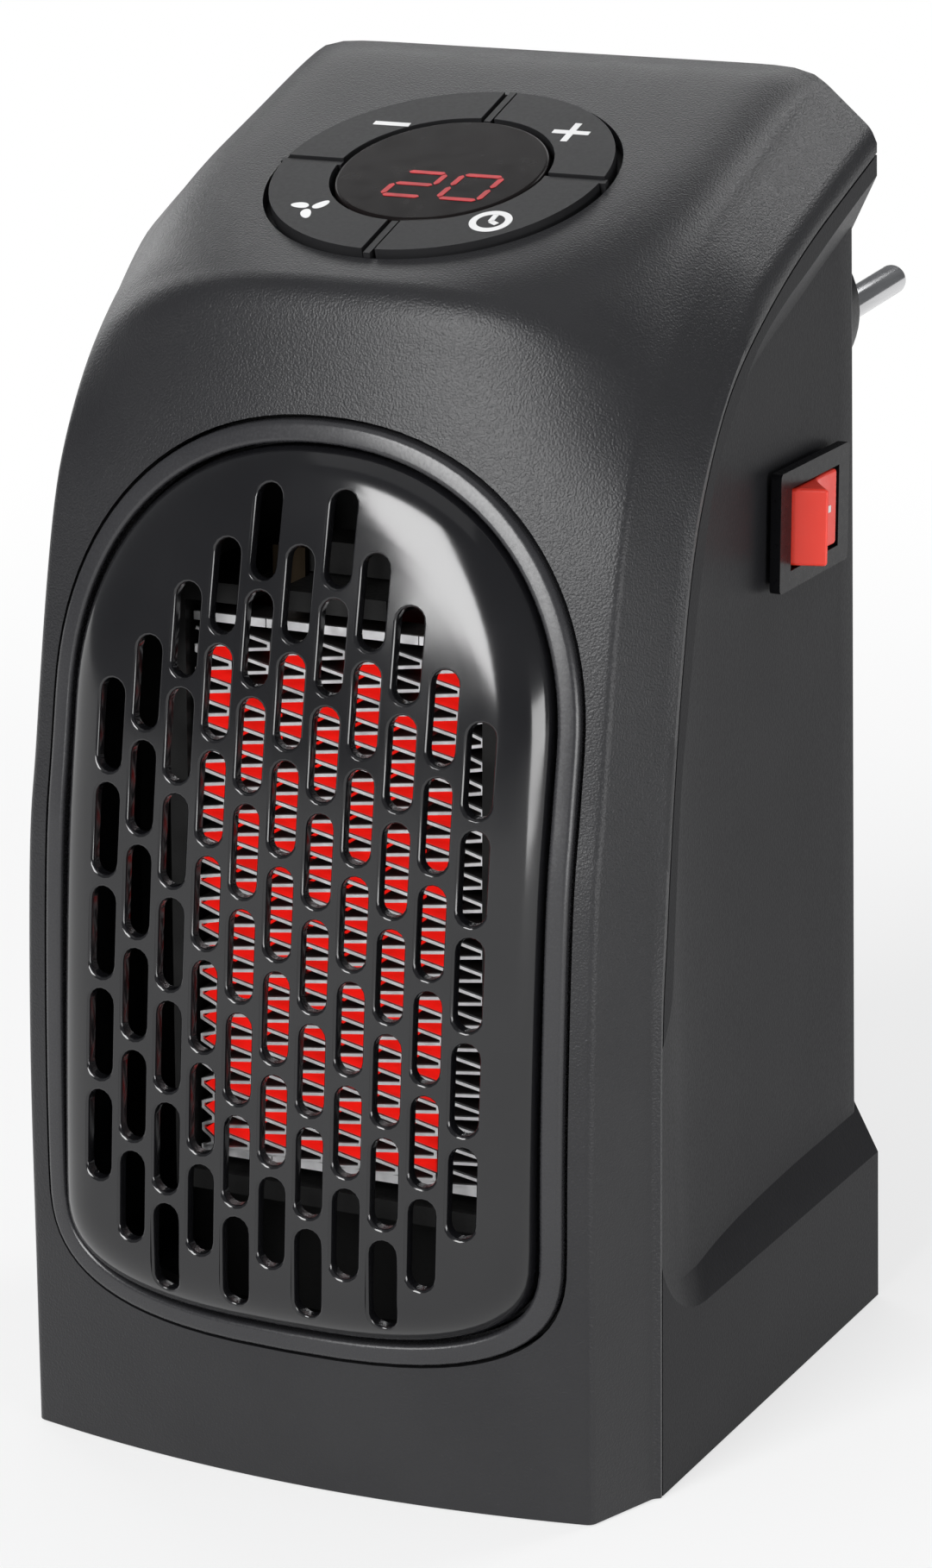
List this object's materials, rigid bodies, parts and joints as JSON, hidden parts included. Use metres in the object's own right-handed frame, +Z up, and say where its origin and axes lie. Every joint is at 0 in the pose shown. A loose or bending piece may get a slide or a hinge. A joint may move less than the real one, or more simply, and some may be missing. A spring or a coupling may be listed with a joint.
{
  "type": "fan heater",
  "caption": "Small plug-in fan heater: upright moulded body with a domed slotted outlet, a round control panel on the sloping top, a side rocker switch and a turning rear plug",
  "frame": {"origin": "centre of the footprint, on the surface that the heater stands on", "axes": "+Z up, the outlet grille faces -Y, +X towards the side with the rocker switch"},
  "size_m": [0.0903, 0.1154, 0.17],
  "materials": {
    "housing_black": "fine moulded texture",
    "grille_gloss_black": "polished",
    "key_satin_black": "satin",
    "display_smoked": "smoked and polished",
    "rocker_red": "smooth",
    "plug_black": "smooth",
    "plated_steel": "bright plated",
    "fin_aluminium": "rolled foil",
    "ptc_bar_grey": "insulated strip",
    "terminal_brass": "plain",
    "inner_plastic": "heat resistant moulding",
    "fan_plastic": "smooth",
    "motor_copper": "wound copper wire",
    "circuit_board": "solder mask",
    "relay_blue": "smooth",
    "capacitor_sleeve": "shrink sleeve",
    "display_module": "smooth",
    "zinc_steel": "zinc plated"
  },
  "bodies": {
    "housing": {"bulkhead": "inner_plastic", "capacitor": "capacitor_sleeve", "case_screw_high": "zinc_steel", "case_screw_low_left": "zinc_steel", "case_screw_low_right": "zinc_steel", "control_bezel": "key_satin_black", "control_board": "circuit_board", "display_module": "display_module", "display_window": "display_smoked", "element_frame": "inner_plastic", "fan_frame": "inner_plastic", "fan_stator": "motor_copper", "fin_strip_left": "fin_aluminium", "fin_strip_middle": "fin_aluminium", "fin_strip_right": "fin_aluminium", "front_shell": "housing_black", "grille": "grille_gloss_black", "grille_ring": "housing_black", "power_board": "circuit_board", "ptc_bar_left": "ptc_bar_grey", "ptc_bar_right": "ptc_bar_grey", "ptc_terminal_left": "terminal_brass", "ptc_terminal_right": "terminal_brass", "rear_shell": "housing_black", "relay": "relay_blue", "switch_body": "plug_black", "switch_spade_front": "terminal_brass", "switch_spade_rear": "terminal_brass", "tact_minus": "inner_plastic", "tact_plus": "inner_plastic", "tact_speed": "inner_plastic", "tact_timer": "inner_plastic", "thermal_cutout": "zinc_steel"},
    "fan": {"fan_impeller": "fan_plastic"},
    "rocker": {"switch_rocker": "rocker_red"},
    "key_plus": {"key_plus": "key_satin_black"},
    "key_minus": {"key_minus": "key_satin_black"},
    "key_speed": {"key_speed": "key_satin_black"},
    "key_timer": {"key_timer": "key_satin_black"},
    "plug": {"plug_body": "plug_black", "plug_pin_left": "plated_steel", "plug_pin_right": "plated_steel", "plug_retainer": "plug_black"}
  },
  "joints": [
    {"name": "fan_spin", "type": "hinge", "parent": "housing", "child": "fan", "pos_m": [0, -0.0107, 0.072], "axis": [0, 1, 0], "continuous": true},
    {"name": "rocker_tilt", "type": "hinge", "parent": "housing", "child": "rocker", "pos_m": [0.041, 0.018, 0.1153], "axis": [0, 0, 1], "range_deg": [-34, 0]},
    {"name": "key_plus_press", "type": "slide", "parent": "housing", "child": "key_plus", "axis": [0, 0.3206, -0.9472], "range_m": [0, 0.0006], "stiffness_N_per_m": 1500},
    {"name": "key_minus_press", "type": "slide", "parent": "housing", "child": "key_minus", "axis": [0, 0.3206, -0.9472], "range_m": [0, 0.0006], "stiffness_N_per_m": 1500},
    {"name": "key_speed_press", "type": "slide", "parent": "housing", "child": "key_speed", "axis": [0, 0.3206, -0.9472], "range_m": [0, 0.0006], "stiffness_N_per_m": 1500},
    {"name": "key_timer_press", "type": "slide", "parent": "housing", "child": "key_timer", "axis": [0, 0.3206, -0.9472], "range_m": [0, 0.0006], "stiffness_N_per_m": 1500},
    {"name": "plug_swivel", "type": "hinge", "parent": "housing", "child": "plug", "pos_m": [0.0262, 0.03688, 0.1366], "axis": [0, 0.9978, 0.0663], "range_deg": [-90, 90]}
  ]
}
